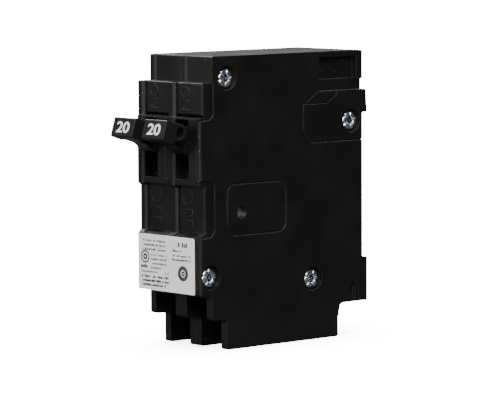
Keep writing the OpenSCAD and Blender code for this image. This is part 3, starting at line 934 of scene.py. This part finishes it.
@dataclass
class RatingLabel:
    """The paper label with rows of unreadable print and two ring marks.

    rings lists, for each ring, how far its middle is from the label's left and upper edges, and
    its outer and inner radius.
    """

    finishes: Finishes
    paper_gap: float = 0.004
    print_t: float = 0.012
    ring_t: float = 0.02
    ring_sides: int = 48
    seed: int = 20
    rings: tuple[tuple[float, float, float, float], ...] = (
        (2.9, 6.2, 1.75, 1.35), (2.9, 6.2, 0.85, 0.3), (18.5, 9.7, 2.05, 1.0), (18.5, 9.7, 0.7, 0.2),
    )
    blocks: tuple[PrintBlock, ...] = (
        PrintBlock(2.1, 2.0, 9.6, 3, pitch=1.2, height=0.58, ragged=0.08),
        PrintBlock(5.4, 5.8, 7.0, 2, pitch=1.15, height=0.56, ragged=0.1),
        PrintBlock(5.4, 8.15, 7.2, 1, height=0.56),
        PrintBlock(5.4, 9.3, 4.2, 1, height=0.56),
        PrintBlock(1.4, 9.2, 3.0, 1, height=0.85, weight=1.5, ragged=0),
        PrintBlock(1.4, 10.4, 7.6, 1, height=0.5),
        PrintBlock(10.6, 10.5, 2.4, 1, height=0.62),
        PrintBlock(1.5, 11.8, 11.8, 1, height=0.7, weight=1.4, ragged=0.05),
        PrintBlock(1.5, 12.9, 11.8, 1, height=0.62, weight=1.3, ragged=0.05),
        PrintBlock(1.9, 14.0, 10.2, 1, height=0.6, weight=1.2, ragged=0.1),
        PrintBlock(16.0, 2.7, 4.9, 1, height=1.25, weight=0.9, ragged=0),
        PrintBlock(14.2, 4.05, 4.3, 1, height=0.55),
        PrintBlock(14.2, 5.35, 7.6, 2, pitch=1.1, height=0.58, ragged=0.05),
    )

    def strokes(self, block: PrintBlock, origin: np.ndarray,
                chance: np.random.Generator) -> tuple[np.ndarray, np.ndarray]:
        """The strokes of one block of print.

        Upright strokes stand at even steps along each line. A stroke is left out where a word
        ends, and its height and width vary at random, so that a line looks like small print from
        afar and reads as nothing up close.

        Args:
            block: the lines to fill.
            origin: the label's upper left corner.
            chance: source of the random values.
        Returns:
            Centres (n x 3) and sizes (n x 2) of the strokes, in metres.
        """
        step = 0.62 * block.height
        count = int(block.width / step)
        line, place = np.meshgrid(np.arange(block.lines), np.arange(count), indexing="ij")
        ends = block.width * (1 - block.ragged * chance.random((block.lines, 1)))
        keep = (chance.random(line.shape) > 0.12) & (place * step < ends)
        tall = block.height * np.where(chance.random(line.shape) > 0.6, 1.0, 0.72)
        wide = step * chance.uniform(0.55, 0.9, line.shape) * min(1.25, block.weight)
        x = block.x + place * step
        down = block.down + line * block.pitch - tall / 2
        centres = origin + np.stack([x, np.zeros(x.shape), -down], axis=-1)[keep] * MM
        return centres, np.stack([wide, tall], axis=-1)[keep] * MM

    def ring(self, at: np.ndarray, outer: float, inner: float) -> Surface:
        """A flat ring that faces -Y: a rectangle section, inner to outer, carried round a circle.

        Args:
            at: middle of the ring's back.
            outer, inner: its radii in millimetres.
        Returns:
            The closed surface.
        """
        sides = self.ring_sides
        a = np.linspace(0, 2 * math.pi, sides, endpoint=False)
        radii = np.array([[inner], [outer], [outer], [inner]]) * MM
        heights = np.array([[0.0], [0.0], [self.ring_t], [self.ring_t]]) * MM
        points = np.stack([radii * np.cos(a), radii * np.sin(a), heights.repeat(sides, axis=1)], axis=-1)
        # The fifth row of faces joins the last ring of points to the first
        faces = band(5, sides) % (4 * sides)
        form = Surface(points.reshape(-1, 3), [faces]).turned_outwards()
        return form.moved(matrix_from_axes(AXIS_X, AXIS_Z, -AXIS_Y, at)).turned_outwards()

    def build(self) -> None:
        """Dresses the paper and adds the print."""
        dress("rating_label", self.finishes["paper"])
        low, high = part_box("rating_label")
        corner = np.array([low[0], low[1] - self.paper_gap * MM, high[2]])
        chance = np.random.default_rng(self.seed)
        made = [self.strokes(block, corner, chance) for block in self.blocks]
        centres, sizes = (np.vstack(values) for values in zip(*made))
        rows = pillows(centres, sizes, self.print_t * MM)
        marks = [self.ring(corner + np.array([x, 0, -down]) * MM, outer, inner)
                 for x, down, outer, inner in self.rings]
        piece("label_print", joined([rows] + marks), self.finishes["print"], "case")


# ---- Handle and mechanism -------------------------------------------------------------------


@dataclass
class Toggle:
    """One pole's handle with the number stamped on its tip, reach away from the pivot."""

    finishes: Finishes
    pole: Pole
    pivot: tuple[float, float] = (-49.5, 53.4)
    reach: float = 21.5
    on_angle: float = 17.3
    middle_x: float = 6.8
    seat: float = 0.02
    number: Lettering = Lettering("20", 5.2 * MM, 3.1 * MM, 0.05 * MM, bold=0.022)

    def build(self) -> None:
        """Dresses the handle and stamps the number on its tip."""
        dress(f"{self.pole.prefix}_handle", self.finishes["handle"])
        a = math.radians(self.on_angle)
        out = np.array([0, -math.cos(a), math.sin(a)])
        up = np.array([0, math.sin(a), math.cos(a)])
        pivot = CASE.place(self.pole, self.middle_x, *self.pivot)
        at = pivot + out * (self.reach - self.seat) * MM
        self.number.placed(f"{self.pole.prefix}_number", matrix_from_axes(AXIS_X, up, out, at),
                           self.finishes["white"], f"{self.pole.prefix}_toggle")


@dataclass
class Mechanism:
    """The sealed working parts of one pole: arm, contacts, spring, lead, latch and arc chute.

    The handle's pivot carries the arm's pivot at arm_pivot_r, under handle_angle. The arm carries
    the spring's moving pin at arm_pin_r, under arm_angle, and spring_pin is the fixed one.
    """

    finishes: Finishes
    pole: Pole
    handle_pivot: tuple[float, float] = (-49.5, 53.4)
    handle_angle: float = 17.3
    arm_pivot_r: float = 8.0
    arm_angle: float = 36.5
    arm_pin_r: float = 13.0
    spring_pin: tuple[float, float] = (-46.5, 50.5)
    spring_x: float = 4.2
    hook_r: float = 0.78
    wire_r: float = 0.2
    coil_r: float = 0.62
    coil_from: float = 2.6
    turns: int = 10
    worn: dict[str, str] = field(default_factory=lambda: {
        "contact_arm": "copper", "moving_contact": "silver", "fixed_contact": "silver",
        "line_jaw": "tinned", "cradle": "plated", "armature": "iron", "magnet_yoke": "iron",
        "bimetal": "bimetal", "arc_plates": "plated", "arc_card": "fibre",
        "calibration_screw": "plated", "flexible_braid": "copper",
    })

    def spring_path(self) -> np.ndarray:
        """The spring's wire: an open hook, a close helix and another hook.

        Between the hooks the wire runs at the coil's radius, and its angle is the turn count
        times a full circle, so x = r sin and the height across is r cos. The hooks are arcs of
        280 degrees round the two pins.
        """
        a, arm = math.radians(self.handle_angle), math.radians(self.arm_angle)
        arm_pivot = np.array(self.handle_pivot) + self.arm_pivot_r * np.array([math.cos(a), -math.sin(a)])
        start = np.array(self.spring_pin)
        span = arm_pivot + self.arm_pin_r * np.array([math.cos(arm), math.sin(arm)]) - start
        length = float(np.linalg.norm(span))
        along = span / length
        across = np.array([-along[1], along[0]])
        steps = 29
        first, last = (np.radians(begin - np.linspace(0, 280, steps)) for begin in (-30, 130))
        angle = np.linspace(0, 2 * math.pi * self.turns, self.turns * 24 + 1)
        coil = self.coil_from + (length - 2 * self.coil_from) * angle / angle[-1]
        s = np.concatenate([self.hook_r * np.cos(first), coil, length + self.hook_r * np.cos(last)])
        x = np.concatenate([np.zeros(steps), self.coil_r * np.sin(angle), np.zeros(steps)])
        h = np.concatenate([self.hook_r * np.sin(first), self.coil_r * np.cos(angle),
                            self.hook_r * np.sin(last)])
        yz = start + along * s[:, None] + across * h[:, None]
        return CASE.place(self.pole, self.spring_x, 0, 0) + np.column_stack([x, yz]) * MM

    def build(self) -> None:
        """Dresses the parts and replaces the spring."""
        for node, label in self.worn.items():
            dress(f"{self.pole.prefix}_{node}", self.finishes[label])
        wire = swept(self.spring_path(), self.wire_r * MM, 12)
        spring = piece(f"{self.pole.prefix}_coiled_spring", wire, self.finishes["spring"],
                       f"{self.pole.prefix}_trip_lever")
        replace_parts(spring, f"{self.pole.prefix}_operating_spring")


# ---- Terminal -------------------------------------------------------------------------------


@dataclass
class Terminal:
    """One pole's load terminal: strap, clamp plate and threaded screw with a slotted head."""

    finishes: Finishes
    pole: Pole
    screw_at: tuple[float, float] = (6.35, 8.0)
    clamp_y: float = -40.2
    shank_r: float = 2.1
    pitch: float = 0.794
    thread_depth: float = 0.42
    length: float = 8.2
    head_r: float = 3.3
    slot_half: float = 0.5
    slot_depth: float = 1.0
    chamfer: float = 0.25

    def thread(self) -> Surface:
        """The threaded shank along +Y from the clamp plate.

        The radius at angle a and depth s is the crest's less the thread's depth times a triangle
        wave of s / pitch - a / full circle, and the far end tapers in.
        """
        sides, rows = 48, 150
        s = np.linspace(-0.1, self.length, rows)
        a = np.linspace(0, 2 * math.pi, sides, endpoint=False)
        wave = np.abs(((s[:, None] / self.pitch - a[None] / (2 * math.pi)) % 1.0) * 2 - 1)
        depth = self.thread_depth * np.clip(wave * 1.5 - 0.25, 0, 1)
        ease = np.clip((self.length - s) / 0.5, 0, 1)[:, None]
        radius = self.shank_r - depth - 0.35 * (1 - ease)
        return turned(radius * MM, s * MM, sides)

    def head(self) -> Surface:
        """The slotted head: a rectangle section carried across a disc.

        The section at x is as wide as the disc there, 2 sqrt(R^2 - x^2). It is as high as the
        head, or lower by the slot's depth where x is within the slot, and its upper corners are
        cut back. Columns stand twice at each side of the slot, so that its walls are upright.
        """
        full, slot = self.head_r, self.slot_half
        wall = 1e-4
        inner = np.array([-slot - wall, -slot, 0.0, slot, slot + wall])
        outer = full * np.cos(np.linspace(math.pi - 0.02, math.pi / 2 + 0.16, 22))
        x = np.concatenate([outer, inner, -outer[::-1]])
        in_slot = np.abs(x) <= slot
        top = self.head_h - np.where(in_slot, self.slot_depth, 0.0)
        chord = np.sqrt(np.maximum(full**2 - x**2, 1e-6))
        cut = np.where(in_slot, 0.0, self.chamfer) * np.minimum(1.0, chord)
        low = np.zeros_like(x)
        across = np.linspace(-1, 1, 9)
        columns = [np.stack([x, -chord, low], axis=-1), np.stack([x, -chord, top - cut], axis=-1)]
        columns += [np.stack([x, k * (chord - cut), top], axis=-1) for k in across]
        columns += [np.stack([x, chord, top - cut], axis=-1), np.stack([x, chord, low], axis=-1)]
        columns += [np.stack([x, k * chord, low], axis=-1) for k in across[-2:0:-1]]
        rings = np.stack(columns, axis=1) * MM
        return with_poles(rings, rings[0].mean(axis=0), rings[-1].mean(axis=0))

    @property
    def head_h(self) -> float:
        """Height of the head, from the CAD screw's box."""
        low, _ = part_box(f"{self.pole.prefix}_terminal_screw")
        return (CASE.rear + self.clamp_y * MM - low[1]) / MM

    def build(self) -> None:
        """Dresses strap and clamp plate and replaces the screw."""
        dress(f"{self.pole.prefix}_load_terminal", self.finishes["brass"])
        dress(f"{self.pole.prefix}_clamp_plate", self.finishes["plated"])
        at = CASE.place(self.pole, self.screw_at[0], self.clamp_y, self.screw_at[1])
        shank = self.thread().moved(matrix_from_axes(AXIS_Z, AXIS_X, AXIS_Y, at))
        head = self.head().moved(matrix_from_axes(AXIS_Z, -AXIS_X, -AXIS_Y, at))
        screw = piece(f"{self.pole.prefix}_slotted_screw", joined([shank, head]),
                      self.finishes["plated"], f"{self.pole.prefix}_screw", 35.0)
        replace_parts(screw, f"{self.pole.prefix}_terminal_screw")


# ---- Studio ---------------------------------------------------------------------------------


@dataclass
class Studio:
    """Pale floor, soft lights and the camera. Lengths are in metres, angles in degrees.

    lamps lists each lamp's name, direction round the object, height over the floor, width and
    height, and power in watts. They stand lamp_away from lamp_aim.
    """

    azimuth: float = 48.173
    elevation: float = 5.083
    distance: float = 0.883352
    aim: tuple[float, float, float] = (-0.00111, 0.00528, 0.03803)
    roll: float = -0.28
    sensor: float = 36.0
    focal_share: float = 6.4596
    turn_point: tuple[float, float] = (-28.0, 40.0)
    floor_half: float = 3.0
    lamp_away: float = 0.9
    lamp_aim: tuple[float, float, float] = (0.0, 0.0, 0.04)
    lamps: tuple[tuple[str, float, float, tuple[float, float], float], ...] = (
        ("key", 50, 36, (0.45, 0.5), 10.0),
        ("overhead", 20, 80, (0.35, 0.35), 5.0),
        ("rim_left", -100, 42, (0.4, 0.35), 5.0),
        ("rim_rear", 172, 50, (0.4, 0.35), 5.0),
        ("behind", 228, 7, (0.9, 0.18), 0.6),
        ("fill", -26, 14, (0.4, 0.35), 2.4),
        ("beside_camera", 44, 8, (0.35, 0.3), 2.0),
    )

    def direction(self, azimuth: float, elevation: float) -> Vector:
        """The unit vector from the object towards a place, 0 in front and growing to the right."""
        az, el = math.radians(azimuth), math.radians(elevation)
        return Vector((math.cos(el) * math.sin(az), -math.cos(el) * math.cos(az), math.sin(el)))

    def floor(self) -> None:
        """A wide pale floor that lets the bright surround through, except close under the object, where
        ambient occlusion paints a soft contact shadow.
        """
        mesh = bpy.data.meshes.new("studio_floor")
        half = self.floor_half
        corners = [(-half, -half, 0), (half, -half, 0), (half, half, 0), (-half, half, 0)]
        mesh.from_pydata(corners, [], [(0, 1, 2, 3)])
        floor = bpy.data.objects.new("studio_floor", mesh)
        floor.location.z = -0.00002
        bpy.context.scene.collection.objects.link(floor)
        material = bpy.data.materials.new("studio_floor")
        material.use_nodes = True
        t = Tree(material.node_tree)
        shader = t.add("BsdfPrincipled")
        shader.inputs["Base Color"].default_value = grey(0.93)
        shader.inputs["Roughness"].default_value = 0.6
        place = t.add("VectorMath", operation="LENGTH")
        t.join(t.object_place(), place.inputs[0])
        # Painted shadow: the see-through floor turns darker where ambient occlusion finds the object close
        # by.
        near = t.add("AmbientOcclusion", samples=8)
        near.inputs["Distance"].default_value = 0.03
        clear = t.add("BsdfTransparent")
        shade = t.between(near.outputs["AO"], 0.2, 1.0, 0.35, 1.0)
        t.join(t.blend(shade, grey(0.0), grey(1.0)), clear.inputs["Color"])
        mix = t.add("MixShader")
        fade = t.between(place.outputs["Value"], 0.06, 0.30, 0.94, 1.0)
        for socket, source in zip(mix.inputs, (fade, shader.outputs[0], clear.outputs[0])):
            t.join(source, socket)
        t.join(mix.outputs[0], t.add("OutputMaterial").inputs["Surface"])
        mesh.materials.append(material)

    def surround(self) -> None:
        """White where the camera looks past the object, and dim for light and reflections."""
        world = bpy.data.worlds.new("studio")
        bpy.context.scene.world = world
        world.use_nodes = True
        t = Tree(world.node_tree)
        seen, lit = t.add("Background"), t.add("Background")
        seen.inputs["Color"].default_value = grey(1.0)
        seen.inputs["Strength"].default_value = 18.0
        lit.inputs["Color"].default_value = grey(1.0, -0.01)
        lit.inputs["Strength"].default_value = 0.06
        mix = t.add("MixShader")
        camera_ray = t.add("LightPath").outputs["Is Camera Ray"]
        for socket, source in zip(mix.inputs, (camera_ray, lit.outputs[0], seen.outputs[0])):
            t.join(source, socket)
        t.join(mix.outputs[0], t.add("OutputWorld").inputs["Surface"])

    def lamp(self, name: str, azimuth: float, elevation: float,
             size: tuple[float, float], power: float) -> None:
        """A soft rectangular lamp that looks at the object.

        Args:
            name: name of the lamp.
            azimuth: its direction round the object, 0 in front and growing to the right, in degrees.
            elevation: its height over the floor, in degrees.
            size: its width and height.
            power: its power in watts.
        """
        light = bpy.data.lights.new(name, "AREA")
        light.shape = "RECTANGLE"
        light.size, light.size_y = size
        light.energy = power
        thing = bpy.data.objects.new(name, light)
        away = self.direction(azimuth, elevation)
        thing.location = Vector(self.lamp_aim) + self.lamp_away * away
        thing.rotation_euler = (-away).to_track_quat("-Z", "Y").to_euler()
        thing.visible_camera = False
        bpy.context.scene.collection.objects.link(thing)

    def camera(self) -> None:
        """The camera at the viewing angle, with a long lens."""
        y, z = self.turn_point
        target = Vector((0, CASE.rear + y * MM, z * MM))
        lens = bpy.data.cameras.new("camera")
        lens.sensor_width = self.sensor
        lens.lens = self.focal_share * self.sensor
        lens.clip_start, lens.clip_end = 0.01, 20.0
        thing = bpy.data.objects.new("camera", lens)
        thing.location = target + self.direction(self.azimuth, self.elevation) * self.distance
        look = (Vector(self.aim) - thing.location).to_track_quat("-Z", "Y")
        roll = Matrix.Rotation(math.radians(self.roll), 3, "Z")
        thing.rotation_euler = (look.to_matrix() @ roll).to_euler()
        bpy.context.scene.collection.objects.link(thing)
        bpy.context.scene.camera = thing

    def build(self) -> None:
        """Sets up floor, surround, lamps and camera."""
        self.floor()
        self.surround()
        for lamp in self.lamps:
            self.lamp(*lamp)
        self.camera()


def main() -> None:
    """Builds the breaker from its sub-assemblies, then the studio."""
    logging.basicConfig(level=logging.INFO, format="%(name)s: %(message)s")
    finishes = Finishes()
    CaseMoulding(finishes).build()
    ClinchedRivets(finishes).build()
    RatingLabel(finishes).build()
    for pole in Pole:
        Toggle(finishes, pole).build()
        Mechanism(finishes, pole).build()
        Terminal(finishes, pole).build()
    Studio().build()


if __name__ == "__main__":
    main()
